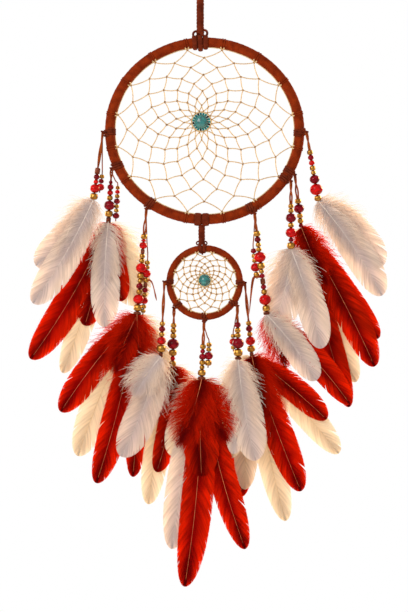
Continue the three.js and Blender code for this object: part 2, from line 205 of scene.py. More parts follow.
def through(points, count):
    """Points evenly along a smooth curve through the given ones."""
    points = [Vector(p) for p in points]
    ends = [2 * points[0] - points[1], *points, 2 * points[-1] - points[-2]]
    fine = []
    for a, b, c, d in zip(ends, ends[1:], ends[2:], ends[3:]):
        for step in range(12):
            t = step / 12
            square = (2 * a - 5 * b + 4 * c - d) * t * t
            cube = (3 * b - a - 3 * c + d) * t**3
            fine.append(0.5 * (2 * b + (c - a) * t + square + cube))
    fine.append(points[-1])
    lengths = np.cumsum([0] + [(q - p).length for p, q in zip(fine, fine[1:])])
    even = []
    for target in np.linspace(0, lengths[-1], count):
        index = min(int(np.searchsorted(lengths, target, side="right")) - 1, len(fine) - 2)
        span = lengths[index + 1] - lengths[index]
        even.append(fine[index].lerp(fine[index + 1], (target - lengths[index]) / span))
    return even


def grid_faces(rows, sides, closed, outward=True):
    """The faces between rows of points that each go round once. A closed grid joins its ends."""
    i, j = np.meshgrid(np.arange(rows if closed else rows - 1), np.arange(sides), indexing="ij")
    k, n = (i + 1) % rows, (j + 1) % sides
    around = [i * sides + j, i * sides + n, k * sides + n, k * sides + j]
    if not outward:
        around = [around[0], around[3], around[2], around[1]]
    return np.stack(around, -1).reshape(-1, 4).tolist()


def tube_faces(rows, sides):
    """The faces of an open grid, with one more over each end."""
    ends = [list(range(sides))[::-1], [(rows - 1) * sides + side for side in range(sides)]]
    return grid_faces(rows, sides, False) + ends


def sweep(points, width, thickness=None, sides=8, faces_to=None, twist=0.0, taper=None, closed=False):
    """A tube along points, as (vertices, faces). Its thickness faces the vectors of faces_to."""
    centre = np.array(points, float)
    thickness = width if thickness is None else thickness
    count = len(centre)
    if closed:
        along = np.roll(centre, -1, 0) - np.roll(centre, 1, 0)
    else:
        along = np.gradient(centre, axis=0)
    along /= np.linalg.norm(along, axis=1)[:, None]
    if faces_to is None:
        start = np.array((0, 1, 0)) if abs(along[0][1]) < 0.9 else np.array((1, 0, 0))
        normal = np.zeros_like(centre)
        for i in range(count):
            start = start - along[i] * (start @ along[i])
            start = start / np.linalg.norm(start)
            normal[i] = start
    else:
        normal = np.array(faces_to, float)
        normal -= along * (normal * along).sum(1)[:, None]
        normal /= np.linalg.norm(normal, axis=1)[:, None]
    side = np.cross(along, normal)
    scale = np.ones(count) if taper is None else np.array(taper, float)
    turn = twist * np.linspace(0, 1, count)
    angles = np.arange(sides) * 2 * math.pi / sides
    a = np.cos(turn)[:, None, None] * side[:, None] + np.sin(turn)[:, None, None] * normal[:, None]
    b = -np.sin(turn)[:, None, None] * side[:, None] + np.cos(turn)[:, None, None] * normal[:, None]
    rings = (
        centre[:, None]
        + a * (np.cos(angles) * width / 2)[None, :, None] * scale[:, None, None]
        + b * (np.sin(angles) * thickness / 2)[None, :, None] * scale[:, None, None]
    )
    return rings.reshape(-1, 3), grid_faces(count, sides, True) if closed else tube_faces(count, sides)


def add_piece(name, parts, materials, body, smooth=True):
    """Joins parts into one object on a body. Each is (vertices, faces, material index), and may add uvs."""
    vertices, faces, slots, places, start = [], [], [], [], 0
    for part_vertices, part_faces, slot, *place in parts:
        vertices.append(np.asarray(part_vertices, float))
        faces.extend([[corner + start for corner in face] for face in part_faces])
        slots.extend([slot] * len(part_faces))
        places.append(place[0] if place else np.zeros((len(part_vertices), 2)))
        start += len(part_vertices)
    mesh = bpy.data.meshes.new(name)
    mesh.from_pydata(np.concatenate(vertices).tolist(), [], faces)
    for material in materials:
        mesh.materials.append(material)
    mesh.polygons.foreach_set("material_index", slots)
    mesh.polygons.foreach_set("use_smooth", [smooth] * len(faces))
    corners = np.zeros(len(mesh.loops), int)
    mesh.loops.foreach_get("vertex_index", corners)
    mesh.uv_layers.new(name="place").data.foreach_set("uv", np.concatenate(places)[corners].ravel())
    mesh.update()
    piece = bpy.data.objects.new(name, mesh)
    bpy.context.collection.objects.link(piece)
    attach(piece, body)
    return piece


def suede(name, dark, light):
    """Split leather: mottled, with a fine nap that catches light at its edges."""
    material, shader = new_material(name, light, 0.92)
    paint_by(material, shader, noise_over(material, 160, 5), (0.25, dark), (0.75, light))
    shader.inputs["Specular IOR Level"].default_value = 0.06
    shader.inputs["Sheen Weight"].default_value = 0.02
    shader.inputs["Sheen Roughness"].default_value = 0.45
    shader.inputs["Sheen Tint"].default_value = (1.0, 0.45, 0.2, 1)
    bump_by(material, shader, noise_over(material, 1500, 3), 0.5, 0.25 * MM)
    return material


thong_suede = suede("suede_thong", (0.075, 0.010, 0.004), (0.19, 0.028, 0.009))

cord_low, cord_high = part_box("hanger_cord")
knot_low, knot_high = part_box("hanger_knot")


def twist_point(share, phase):
    """A point of the twisted pair, from the hitch at share 0 up to the knot at share 1."""
    angle = phase + math.pi + 2 * math.pi * TWIST_TURNS * (share - 1)
    height = cord_low.z + share * (knot_low.z - cord_low.z)
    return Vector((TWIST_RADIUS * math.cos(angle), TWIST_RADIUS * math.sin(angle), height))


loop_route = [
    (-0.6 * LOOP_THONG, 0, knot_high.z),
    (-0.6 * LOOP_THONG, 0, knot_high.z + LOOP_THONG),
    (-0.36 * LOOP_WIDTH, 0, -0.72 * LOOP_OPENING),
    (-(LOOP_WIDTH + LOOP_THONG) / 2, 0, -0.36 * LOOP_OPENING),
    (-0.38 * LOOP_WIDTH, 0, -0.06 * LOOP_OPENING),
    (0, 0, LOOP_THONG / 2),
    (0.38 * LOOP_WIDTH, 0, -0.06 * LOOP_OPENING),
    ((LOOP_WIDTH + LOOP_THONG) / 2, 0, -0.36 * LOOP_OPENING),
    (0.36 * LOOP_WIDTH, 0, -0.72 * LOOP_OPENING),
    (0.6 * LOOP_THONG, 0, knot_high.z + LOOP_THONG),
    (0.6 * LOOP_THONG, 0, knot_high.z),
]
way_up = [twist_point(step / 14, 0) for step in range(15)]
way_down = [twist_point(step / 14, math.pi) for step in range(14, -1, -1)]
hanger_path = through([*way_up, *loop_route, *way_down], 260)
hanger_tube = sweep(hanger_path, LOOP_THONG, 0.9 * LOOP_THONG, sides=10, twist=6 * math.pi)
hanger_thong = add_piece("hanger_thong", [(*hanger_tube, 0)], [thong_suede], "hanger")
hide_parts("hanger_loop", "hanger_cord")

# Below the knot the pair is wound closely with the same lace.
WRAPPING_RADIUS = 3.8 * MM
WRAPPING_PITCH = 3.4 * MM


def wound_lace(x, low, high, radius, rows=90, around=28):
    """An upright cord wound with lace, each turn lapping over the last, as (vertices, faces)."""
    vertices = []
    for row in range(rows + 1):
        height = low + row / rows * (high - low)
        for side in range(around):
            turn = side / around
            part = (height / WRAPPING_PITCH + turn) % 1.0
            angle = 2 * math.pi * turn
            place = Vector((2 * math.cos(angle), height / (6 * MM), 2 * math.sin(angle)))
            reach = radius - 0.6 * MM * part**3 + 0.2 * MM * noise.noise(place)
            vertices.append((x + reach * math.cos(angle), reach * math.sin(angle), height))
    return vertices, tube_faces(rows + 1, around)


winding = wound_lace(0.0, cord_low.z, cord_high.z, WRAPPING_RADIUS)
hanger_wrapping = add_piece("hanger_wrapping", [(*winding, 0)], [thong_suede], "hanger")

# The overhand knot in the doubled thong: a trefoil, pulled tight.
knot_middle = (knot_low + knot_high) / 2
knot_reach = (knot_high.x - knot_low.x) / 2 - LOOP_THONG / 2
knot_path = []
for step in range(90):
    t = 2 * math.pi * step / 90
    across = (math.sin(t) + 2 * math.sin(2 * t)) / 3
    deep = -math.sin(3 * t)
    up = (math.cos(t) - 2 * math.cos(2 * t)) / 3
    knot_path.append(knot_middle + Vector((knot_reach * across, 0.75 * knot_reach * deep, knot_reach * up)))
knot_tube = sweep(knot_path, LOOP_THONG, sides=10, closed=True)
hanger_knot = add_piece("hanger_knot_turns", [(*knot_tube, 0)], [thong_suede], "hanger")
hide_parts("hanger_knot")

# ---- The strands' thongs ----
# Each strand hangs on a narrow suede lace, doubled over the hoop. Its two halves part a little under the
# hitch, twist together, run through the beads and end in the knot that holds the feathers.

THONG_WIDTH = 2.4 * MM
HALF_THONG = 1.5 * MM
HALVES_APART = 1.5 * MM
TWIST_LENGTH = 26 * MM  # in which the halves go half round each other

# The strands' laces are the hanger's suede painted lighter and more orange: painted light, for warm light
# from behind glowing through the thin lace.
strand_suede = suede("strand_suede", (0.15, 0.022, 0.005), (0.42, 0.09, 0.017))

strand_names = [name[len("thong_"):] for name in frame["nodes"] if name.startswith("thong_")]
anchors = {
    joint["child"][len("strand_"):]: Vector(joint.get("pos_m") or joint["pos"])
    for joint in frame["joints"]
    if joint["child"].startswith("strand_")
}


def thong_line(strand):
    """The two ends of a strand's thong: the hitch, and the point under its last bead."""
    low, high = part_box(f"thong_{strand}")
    return anchors[strand], low + high - anchors[strand]


for strand in sorted(strand_names):
    top, bottom = thong_line(strand)
    bare = (top - bottom).length - (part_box(f"beads_{strand}")[1].z - bottom.z)
    parting = 1.1 * MM * (1 if bare < TWIST_LENGTH else 0.1)
    route = [top.lerp(bottom, step / 59) for step in range(60)]
    halves = []
    for side in (-1, 1):
        path = []
        for point in route:
            down = (point - top).length
            bow = parting * math.sin(math.pi * min(1, down / bare)) ** 2
            turn = math.pi * down / TWIST_LENGTH + 0.4
            reach = side * (HALVES_APART / 2 + bow)
            path.append(point + Vector((reach * math.cos(turn), 0.6 * reach * math.sin(turn), 0)))
        halves.append((*sweep(path, HALF_THONG * 1.15, HALF_THONG, sides=7), 0))
    piece = add_piece(f"thong_lace_{strand}", halves, [strand_suede], f"strand_{strand}")
    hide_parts(f"thong_{strand}")

# ---- The hoops ----
# Each hoop is an oval ring of cane. A suede lace is wound round it in one long helix, each turn lapping
# over the edge of the last, and glued.

LACE_STEP = 0.5 * MM  # how far each turn stands over the one before
hoops = {
    "large": {"turns": 108, "steps": 1404, "around": 28, "body": "large_hoop"},
    "small": {"turns": 46, "steps": 598, "around": 22, "body": "small_hoop"},
}
for name, hoop in hoops.items():
    low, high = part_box(f"{name}_hoop_lace")
    hoop["tube"] = (high.y - low.y) / 2
    hoop["middle"] = (low + high) / 2
    hoop["across"] = (high.x - low.x) / 2 - hoop["tube"]
    hoop["up"] = (high.z - low.z) / 2 - hoop["tube"]


def hoop_point(hoop, angle, outset=0.0, forward=0.0):
    """A point by a hoop's middle line: moved outwards by outset and towards the front by forward."""
    normal = Vector((hoop["up"] * math.cos(angle), 0, hoop["across"] * math.sin(angle))).normalized()
    place = Vector((hoop["across"] * math.cos(angle), 0, hoop["up"] * math.sin(angle)))
    return hoop["middle"] + place + outset * normal + Vector((0, -forward, 0))


def hoop_skin(hoop, angle, around, height=0.0):
    """A point on a hoop's tube. Around is 0 on the outside and a quarter turn at the front."""
    reach = hoop["tube"] + height
    return hoop_point(hoop, angle, reach * math.cos(around), reach * math.sin(around))


def smooth_step(value):
    value = min(max(value, 0.0), 1.0)
    return value * value * (3 - 2 * value)


def lace_height(hoop, angle, around):
    """The height of the wound lace: each turn rises from under the last one to its own free edge."""
    wander = 0.35 * noise.noise(Vector((3.0 * math.cos(angle), 3.0 * math.sin(angle), hoop["turns"])))
    turn = hoop["turns"] * angle / (2 * math.pi) + around / (2 * math.pi) + wander
    part = turn - math.floor(turn)
    lift = 0.55 + 0.45 * noise.noise(Vector((math.floor(turn) * 1.7, hoop["turns"], 0.5)))
    edge = smooth_step(part / 0.12)
    return LACE_STEP * lift * (edge * (1 - 0.75 * part) - 0.5)


lace_suede = suede("suede_lace", (0.13, 0.012, 0.002), (0.28, 0.031, 0.004))
for name, hoop in hoops.items():
    steps, around = hoop["steps"], hoop["around"]
    points = []
    for step in range(steps):
        angle = 2 * math.pi * step / steps
        for side in range(around):
            turn = 2 * math.pi * side / around
            points.append(hoop_skin(hoop, angle, turn, lace_height(hoop, angle, turn)))
    faces = grid_faces(steps, around, True, outward=False)
    lace = add_piece(f"{name}_hoop_wrapping", [(points, faces, 0)], [lace_suede], hoop["body"])
    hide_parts(f"{name}_hoop_lace")

cane, cane_shader = new_material("hoop_cane", (0.55, 0.38, 0.2), 0.55)
cane_grain = noise_over(cane, 900, 4, (1, 1, 0.1))
paint_by(cane, cane_shader, cane_grain, (0.3, (0.42, 0.27, 0.13)), (0.7, (0.66, 0.48, 0.27)))
bump_by(cane, cane_shader, cane_grain, 0.3, 0.2 * MM)
for name in hoops:
    core = frame["nodes"][f"{name}_hoop_core"]
    core.data.materials.clear()
    core.data.materials.append(cane)

# ---- The webs ----
# One waxed thread is hitched round the inside of the hoop in loops, and then round and round through its
# own loops, each round tied to the middle of the last one's, until it closes tight round the stone.

THREAD = 1.05 * MM
PACKED_THREAD = 1.2 * MM
HITCH_GAP = 0.6 * MM
CLEARANCE = 0.3 * MM
ROUND_SPACING = 1.15
KNOT_RADIUS = 0.85 * MM
SMALL_KNOT_RADIUS = 0.55 * MM  # of the last two rounds
HITCH_SPREAD = 3.6 * MM  # between the two turns of a hitch round the hoop
THREAD_BOW = 0.045  # how far a length of thread bows, as a share of its length
hoops["large"].update(loops=16, rounds=8)
hoops["small"].update(loops=13, rounds=6)


def thread_material(name, dark, light):
    """Waxed cotton thread: pale, faintly glossy, with its twist just showing."""
    material, shader = new_material(name, light, 0.5)
    paint_by(material, shader, noise_over(material, 500, 3), (0.35, dark), (0.65, light))
    twist = add_node(material, "ShaderNodeTexWave", Scale=700, Distortion=2.0, bands_direction="DIAGONAL")
    lay_on_piece(material, twist)
    bump_by(material, shader, twist.outputs["Fac"], 0.5, 0.12 * MM)
    return material


web_thread = thread_material("web_thread", (0.55, 0.35, 0.15), (0.8, 0.6, 0.33))
knot_thread = thread_material("knot_thread", (0.24, 0.11, 0.035), (0.48, 0.27, 0.1))


def web_knot(hoop, ring, loop):
    """The place of a knot: ring 0 is at the hoop, and the last is at the stone."""
    angle = math.pi / 2 + (loop + (ring + 1) / 2) * 2 * math.pi / hoop["loops"]
    share = (1 - ring / hoop["rounds"]) ** ROUND_SPACING
    rim = hoop_point(hoop, angle, -(hoop["tube"] + HITCH_GAP + PACKED_THREAD))
    eye = hoop["stone"] + hoop["eye"] * Vector((math.cos(angle), 0, math.sin(angle)))
    return rim * share + eye * (1 - share)


def small_ring(middle, axis, radius, thread, steps=9, sides=5):
    """One turn of thread round an axis through a point."""
    across = axis.orthogonal().normalized()
    other = axis.normalized().cross(across)
    angles = [2 * math.pi * step / steps for step in range(steps)]
    path = [middle + radius * (math.cos(a) * across + math.sin(a) * other) for a in angles]
    return sweep(path, thread, sides=sides, closed=True)


for name, hoop in hoops.items():
    ring_low, ring_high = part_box(f"{name}_stone_beads")
    stone_low, stone_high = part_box(f"{name}_stone")
    hoop["stone"] = (stone_low + stone_high) / 2
    hoop["stone_radius"] = (stone_high.z - stone_low.z) / 2
    hoop["ring_bead"] = ring_high.y - ring_low.y
    hoop["eye"] = (ring_high.z - ring_low.z) / 2 + CLEARANCE + PACKED_THREAD
    parts = []
    for ring in range(hoop["rounds"]):
        path = []
        for loop in range(hoop["loops"]):
            tied = web_knot(hoop, ring + 1, loop)
            corners = [web_knot(hoop, ring, loop), tied, web_knot(hoop, ring, loop + 1)]
            for index, (start, end) in enumerate(zip(corners, corners[1:])):
                aside = (end - start).cross(Vector((0, 1, 0))) * THREAD_BOW
                for step in range(6):
                    t = step / 6
                    lift = 0.3 * MM * math.cos(math.pi * (t + index))
                    path.append(start.lerp(end, t) + aside * math.sin(math.pi * t) + Vector((0, lift, 0)))
        parts.append((*sweep(path, THREAD, sides=6, closed=True), 0))
        for loop in range(hoop["loops"]):
            knot = web_knot(hoop, ring + 1, loop)
            inward = (hoop["stone"] - knot).normalized()
            size = KNOT_RADIUS if ring < hoop["rounds"] - 2 else SMALL_KNOT_RADIUS
            sideways = inward.cross(Vector((0, 1, 0)))
            parts.append((*small_ring(knot + inward * 0.4 * MM, inward, size, THREAD * 0.9), 1))
            second = small_ring(knot - inward * 0.5 * MM, inward + 0.5 * sideways, size, THREAD * 0.85)
            parts.append((*second, 1))
    for turn in range(2):
        close = hoop["eye"] - (0.7 + 0.8 * turn) * MM
        parts.append((*small_ring(hoop["stone"], Vector((0, 1, 0)), close, THREAD, steps=60, sides=6), 0))
    for loop in range(hoop["loops"]):
        angle = math.pi / 2 + (loop + 0.5) * 2 * math.pi / hoop["loops"]
        knot = web_knot(hoop, 0, loop)
        for slip in (-0.5, 0.5):
            hitch = [knot]
            for step in range(9):
                around = math.pi + math.radians(-48 + 12 * step)
                place = angle + slip * HITCH_SPREAD / hoop["across"]
                hitch.append(hoop_skin(hoop, place, around, 0.45 * MM))
            hitch.append(knot)
            parts.append((*sweep(hitch, THREAD, sides=6), 0))
        parts.append((*small_ring(knot, knot - hoop["stone"], 0.9 * MM, THREAD), 1))
    # Between the hitches the thread runs on along the inside of the hoop.
    edge = []
    for step in range(240):
        angle = 2 * math.pi * step / 240
        lean = math.pi + 0.16 * math.sin(hoop["loops"] * angle)
        edge.append(hoop_skin(hoop, angle, lean, 0.4 * MM))
    parts.append((*sweep(edge, THREAD, sides=6, closed=True), 0))
    web = add_piece(f"{name}_web_thread", parts, [web_thread, knot_thread], hoop["body"])
    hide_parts(f"{name}_web")

# ---- The stones ----
# A tumbled turquoise bead sits in the eye of each web, polished but not quite round, with brown veins of
# matrix. A ring of small turquoise and dark glass beads is threaded round it.


def turquoise_material():
    """Clouded blue-green stone with thin dark veins, under a polish."""
    material, shader = new_material("turquoise", (0.02, 0.27, 0.26), 0.28)
    clouds = colours_by(
        material,
        noise_over(material, 240, 6),
        (0.3, (0.005, 0.105, 0.11)),
        (0.52, (0.01, 0.19, 0.185)),
        (0.75, (0.03, 0.31, 0.285)),
    )
    veins = add_node(material, "ShaderNodeTexVoronoi", Scale=230.0, feature="DISTANCE_TO_EDGE")
    lay_on_piece(material, veins)
    mix = add_node(material, "ShaderNodeMix", data_type="RGBA")
    thin = add_node(material, "ShaderNodeMapRange")
    thin.inputs["From Max"].default_value = 0.035
    join_sockets(material, veins.outputs["Distance"], thin.inputs["Value"])
    join_sockets(material, thin.outputs["Result"], mix.inputs["Factor"])
    mix.inputs[6].default_value = (0.035, 0.03, 0.02, 1)
    join_sockets(material, clouds, mix.inputs[7])
    join_sockets(material, mix.outputs[2], shader.inputs["Base Color"])
    shader.inputs["Coat Weight"].default_value = 0.6
    shader.inputs["Coat Roughness"].default_value = 0.12
    bump_by(material, shader, thin.outputs["Result"], 0.25, 0.15 * MM)
    return material


def glass_material(name, dark, light, roughness=0.08):
    """Pressed glass: deep colour with cloudy swirls under a high polish."""
    material, shader = new_material(name, light, roughness)
    paint_by(material, shader, noise_over(material, 170, 3, (1, 1, 2)), (0.35, dark), (0.65, light))
    shader.inputs["Specular IOR Level"].default_value = 0.12
    shader.inputs["Coat Weight"].default_value = 0.07
    shader.inputs["Coat Roughness"].default_value = 0.04
    bump_by(material, shader, noise_over(material, 420, 2), 0.12, 0.2 * MM)
    return material


FLUTES = 8
FLUTE_DEPTH = 0.045  # as a share of the bead's radius


def bead_outline(kind, diameter, hole, height):
    """A bead's section as (radius, height) points, closed round its hole."""
    radius, half = diameter / 2, height / 2
    power = {"round": 1.0, "spacer": 0.72, "tube": 0.35, "disc": 0.7}[kind]
    limit = math.acos(min(1.0, hole / radius) ** (1 / power))
    points = []
    for step in range(11):
        angle = limit * (1 - step / 5)
        up = math.copysign(abs(math.sin(angle)) ** power, angle)
        points.append((radius * max(math.cos(angle), 0) ** power, half * up))
    top = points[0][1]
    return [*points, (hole * 0.8, -top * 0.8), (hole * 0.8, top * 0.8)]


def bead(kind, middle, axis, diameter, hole, height, fluted=False, sides=20):
    """A turned bead on an axis through a point."""
    outline = np.array(bead_outline(kind, diameter, hole, height))
    angles = np.arange(sides) * 2 * math.pi / sides
    across = axis.orthogonal().normalized()
    other = axis.normalized().cross(across)
    swell = 1 + (FLUTE_DEPTH if fluted else 0) * np.cos(FLUTES * angles)
    radii = outline[:, 0][:, None] * swell[None, :]
    vertices = (
        np.array(middle)
        + (radii * np.cos(angles))[..., None] * np.array(across)
        + (radii * np.sin(angles))[..., None] * np.array(other)
        + (outline[:, 1][:, None] + 0 * radii)[..., None] * np.array(axis.normalized())
    ).reshape(-1, 3)
    return vertices, grid_faces(len(outline), sides, True, outward=False)


def pebble(middle, radius, seed, steps=40):
    """A tumbled stone: a ball with soft flats and hollows."""
    vertices = []
    for row in range(steps // 2 + 1):
        tilt = math.pi * row / (steps // 2)
        for column in range(steps):
            turn = 2 * math.pi * column / steps
            way = Vector((math.sin(tilt) * math.cos(turn), math.sin(tilt) * math.sin(turn), math.cos(tilt)))
            swell = 1.1 + 0.06 * noise.noise(way * 1.6 + Vector((seed, 0, 0)))
            vertices.append(middle + Vector((way.x, 0.82 * way.y, way.z)) * radius * swell)
    return vertices, grid_faces(steps // 2 + 1, steps, False, outward=False)


turquoise = turquoise_material()
turquoise_glass = glass_material("turquoise_glass", (0.004, 0.11, 0.11), (0.015, 0.27, 0.25))
dark_glass = glass_material("dark_glass", (0.01, 0.006, 0.004), (0.03, 0.018, 0.012))
for name, hoop in hoops.items():
    shape = pebble(hoop["stone"], hoop["stone_radius"], len(name))
    stone = add_piece(f"{name}_turquoise", [(*shape, 0)], [turquoise], hoop["body"])
    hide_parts(f"{name}_stone")
    size = hoop["ring_bead"]
    reach = hoop["eye"] - CLEARANCE - PACKED_THREAD - size / 2
    count = int(2 * math.pi * reach / (0.98 * size))
    parts = []
    for index in range(count):
        angle = 2 * math.pi * index / count
        out = Vector((math.cos(angle), 0, math.sin(angle)))
        axis = out.cross(Vector((0, 1, 0)))
        shape = bead("spacer", hoop["stone"] + out * reach, axis, size, 0.18 * size, 0.9 * size, sides=12)
        parts.append((*shape, 1 if index % 4 == 2 else 0))
    ring = add_piece(f"{name}_ring_of_beads", parts, [turquoise_glass, dark_glass], hoop["body"])
    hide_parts(f"{name}_stone_beads")

# ---- The bindings ----
# Each thong is hitched round its hoop in two or three close turns of the same suede. Broader turns carry
# the hanger at the top and the link at the bottom of the large hoop.

BINDING_THONG = 2.3 * MM
BINDING_PITCH = 2.5 * MM


def binding(hoop, angle, turns, front, anchor):
    """Turns of thong round a hoop's tube, whose end runs to the top of the strand."""
    steps = 16 * turns
    pitch = BINDING_PITCH / hoop["across"]
    path, out = [], []
    finish = math.radians(75 if front else -75)
    for step in range(steps + 1):
        share = step / 16
        around = finish + 2 * math.pi * (share - turns)
        slip = pitch * (share - turns / 2)
        path.append(hoop_skin(hoop, angle + slip, around, 0.75 * MM))
        out.append(path[-1] - hoop_skin(hoop, angle + slip, around, -hoop["tube"]))
    path.append(path[-1].lerp(anchor, 0.6) + (0.8 * MM) * out[-1].normalized())
    out.append(out[-1])
    path.append(anchor)
    out.append(out[-1])
    return sweep(path, BINDING_THONG, BINDING_THONG * 0.62, sides=8, faces_to=out)


for strand in sorted(strand_names):
    hoop = hoops["large" if strand.startswith("hoop") else "small"]
    anchor = anchors[strand]
    reach = anchor - hoop["middle"]
    angle = math.atan2(reach.z / hoop["up"], reach.x / hoop["across"])
    parts = [(*binding(hoop, angle, 2 if hoop is hoops["small"] else 3, anchor.y < 0, anchor), 0)]
    knot_at = anchor + Vector((0, 0, 0.4 * MM))
    knot_ring = small_ring(knot_at, Vector((0.2, 0, 1)), 1.5 * MM, BINDING_THONG * 0.8, 12, 7)
    parts.append((*knot_ring, 0))
    piece = add_piece(f"binding_{strand}", parts, [thong_suede], hoop["body"])


def strap(hoop, angle, slip, width, thickness, droop=0.0):
    """One flat turn of lace round a hoop's tube, with some slack on the inside of the hoop."""
    path, out = [], []
    for step in range(28):
        around = 2 * math.pi * step / 28
        slack = droop * max(0.0, -math.cos(around)) ** 3
        place = angle + slip / hoop["across"]
        path.append(hoop_skin(hoop, place, around, thickness / 2 + 0.25 * MM + slack))
        out.append(path[-1] - hoop_skin(hoop, place, around, -hoop["tube"]))
    return sweep(path, width, thickness, sides=10, faces_to=out, closed=True)


def lies_at(hoop, x, upper):
    """The angle of the point of a hoop above or below a place across it."""
    angle = math.acos((x - hoop["middle"].x) / hoop["across"])
    return angle if upper else -angle


# Narrow ties of the same suede hold the large web's hitches down on its hoop.
large, small = hoops["large"], hoops["small"]
chance = np.random.default_rng(7)
parts = []
for loop in range(large["loops"]):
    angle = math.pi / 2 + (loop + 0.5) * 2 * math.pi / large["loops"]
    for slip in (-1.0, 1.0):
        place = angle + slip * chance.uniform(0.8, 1.2) * MM / large["across"]
        parts.append((*strap(large, place, 0, chance.uniform(1.2, 1.7) * MM, 0.4 * MM), 0))
ties = add_piece("large_hitch_ties", parts, [lace_suede], "large_hoop")

# The hanger's hitch has three turns: place along the hoop, width, thickness and slack, in mm.
hanger_at = lies_at(large, 0.0, True)
hitch_turns = ((5.4, 4.9, 2.2, 0.3), (0.0, 5.0, 2.6, 1.6), (-5.4, 4.9, 2.2, 0.3))
parts = [(*strap(large, hanger_at, *(size * MM for size in turn)), 0) for turn in hitch_turns]
hitch_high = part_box("hanger_hitch")[1]
for side, lift in ((-1, 0.2 * MM), (1, 1.4 * MM)):
    middle = Vector((side * 4.4 * MM, -0.6 * MM, hitch_high.z + lift - 0.8 * MM))
    parts.append((*small_ring(middle, Vector((0.5 * side, 1, 0.2)), 3.0 * MM, 2.4 * MM, 18, 8), 0))
    places = ((4, -3), (1, 0), (-3, 3.4))
    crossing = [Vector((side * x * MM, (-1.5 - side) * MM, hitch_high.z + z * MM)) for x, z in places]
    parts.append((*sweep(through(crossing, 12), 2.8 * MM, 1.8 * MM, sides=8), 0))
collar = []
for x in range(-4, 5):
    collar.append(Vector((x * MM, -2.4 * MM, hitch_high.z + 0.6 * MM + 0.5 * MM * (1 - (x / 4) ** 2))))
parts.append((*sweep(collar, 2.4 * MM, sides=8), 0))
hanger_hitch = add_piece("hanger_hitch_turns", parts, [thong_suede], "large_hoop")
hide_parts("hanger_hitch")

# ---- The link between the hoops ----
# A short doubled thong is hitched round the bottom of the large hoop, wound with its own end, and tied
# round the top of the small one, where it shows under the tube as a small knot.

link_low, link_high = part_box("link_cord")
link_x = (link_low.x + link_high.x) / 2
link_at = lies_at(large, link_x, False)
parts = [(*strap(large, link_at, slip * MM, 6.6 * MM, 1.5 * MM), 0) for slip in (-3.9, 3.9)]
link_hitch = add_piece("link_hitch_turns", parts, [thong_suede], "large_hoop")
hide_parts("link_hitch")

LINK_RADIUS = 3.4 * MM
LINK_RISE = 4.2 * MM  # how far the winding goes on, up between the turns of the hitch
parts = [(*wound_lace(link_x, link_low.z, link_high.z + LINK_RISE, LINK_RADIUS, rows=60), 0)]
small_at = lies_at(small, link_x, True)
for slip in (-2.4, 1.4):
    parts.append((*strap(small, small_at, slip * MM, 3.4 * MM, 1.8 * MM), 0))
tie = hoop_point(small, small_at, -(small["tube"] + 1.4 * MM))
parts.append((*small_ring(tie, Vector((1, 0, 0.3)), 1.2 * MM, 2.0 * MM, 12, 8), 0))
for side in (-1, 1):
    loop_at = Vector((link_x + side * 3.6 * MM, -1.2 * MM, link_low.z + 1.6 * MM))
    parts.append((*small_ring(loop_at, Vector((0.3 * side, 1, 0.2)), 1.7 * MM, 1.5 * MM, 14, 7), 0))
link = add_piece("link_thong", parts, [thong_suede], "small_hoop")
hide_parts("link_cord")

# ---- The beads ----
# Red glass beads alternate with small gilt ones, on most strands down to a brown one that jams over the
# feathers' knot. Half of the strands carry a second, shorter row on a side thong, and two of them a loose
# end of lace.

GOLD, RED, DARK, BROWN = "gold", "red", "dark", "brown"
BEAD_HEIGHTS = {"round": 0.9, "spacer": 0.85, "tube": 1.2, "disc": 0.5}
USUAL_SHAPES = {GOLD: "spacer", RED: "round", DARK: "round", BROWN: "disc"}


def gilt_material():
    """Gilt metal, rubbed darker in patches."""
    material, shader = new_material("bead_gold", (0.52, 0.27, 0.05), 0.34)
    wear = noise_over(material, 380, 4)
    paint_by(material, shader, wear, (0.3, (0.27, 0.11, 0.015)), (0.62, (0.54, 0.28, 0.055)))
    shader.inputs["Metallic"].default_value = 1.0
    bump_by(material, shader, wear, 0.2, 0.2 * MM)
    return material


bead_materials = {
    GOLD: gilt_material(),
    RED: glass_material("bead_red", (0.28, 0.0, 0.001), (0.66, 0.004, 0.004)),
    DARK: glass_material("bead_dark", (0.1, 0.0, 0.004), (0.3, 0.0, 0.01)),
    BROWN: glass_material("bead_brown", (0.075, 0.012, 0.005), (0.2, 0.042, 0.016), 0.2),
}
